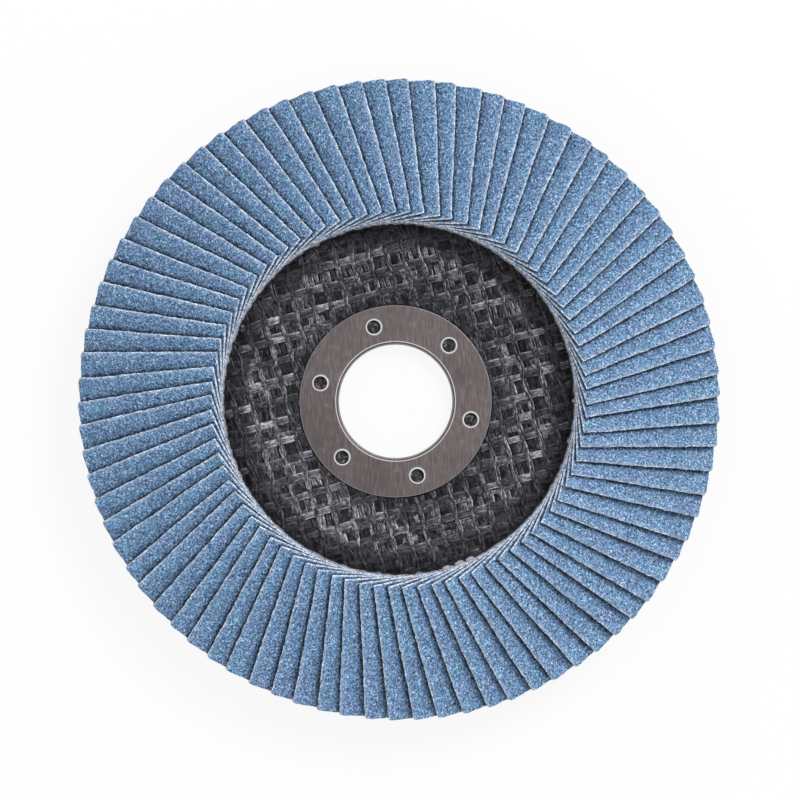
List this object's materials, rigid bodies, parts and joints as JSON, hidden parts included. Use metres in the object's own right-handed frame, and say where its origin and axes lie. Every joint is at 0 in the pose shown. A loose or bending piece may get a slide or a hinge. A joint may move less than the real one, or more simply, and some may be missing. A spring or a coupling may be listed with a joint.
{
  "type": "flap disc",
  "caption": "Conical abrasive flap disc: overlapping blue abrasive cloth flaps on a black glass-fibre backing plate with a steel ring lining its bore.",
  "frame": {"origin": "on the bore's axis, in the hub's back face, which seats on the grinder's flange", "axes": "+Z along the bore, out of the working face; +X and +Y lie in the hub's back face, and the first flap starts on +X"},
  "size_m": [0.125, 0.125, 0.0176],
  "materials": {
    "backing": "black glass-fibre laminate, slightly glossy",
    "mesh": "woven glass mesh under black resin",
    "ring": "rolled steel sheet with fine brushed lines",
    "adhesive": "cured pale grey epoxy",
    "flaps": "blue ceramic abrasive grain on polyester-cotton cloth"
  },
  "bodies": {
    "root": {"adhesive_bed": "adhesive", "backing_plate": "backing", "centre_ring": "ring", "flap_pair_01": "flaps", "flap_pair_02": "flaps", "flap_pair_03": "flaps", "flap_pair_04": "flaps", "flap_pair_05": "flaps", "flap_pair_06": "flaps", "flap_pair_07": "flaps", "flap_pair_08": "flaps", "flap_pair_09": "flaps", "flap_pair_10": "flaps", "flap_pair_11": "flaps", "flap_pair_12": "flaps", "flap_pair_13": "flaps", "flap_pair_14": "flaps", "flap_pair_15": "flaps", "flap_pair_16": "flaps", "flap_pair_17": "flaps", "flap_pair_18": "flaps", "flap_pair_19": "flaps", "flap_pair_20": "flaps", "flap_pair_21": "flaps", "flap_pair_22": "flaps", "flap_pair_23": "flaps", "flap_pair_24": "flaps", "flap_pair_25": "flaps", "flap_pair_26": "flaps", "flap_pair_27": "flaps", "flap_pair_28": "flaps", "flap_pair_29": "flaps", "flap_pair_30": "flaps", "flap_pair_31": "flaps", "flap_pair_32": "flaps", "flap_pair_33": "flaps", "flap_pair_34": "flaps", "flap_pair_35": "flaps", "flap_pair_36": "flaps", "flap_pair_37": "flaps", "flap_pair_38": "flaps", "flap_pair_39": "flaps", "flap_pair_40": "flaps", "flap_pair_41": "flaps", "glass_mesh": "mesh"}
  },
  "joints": []
}
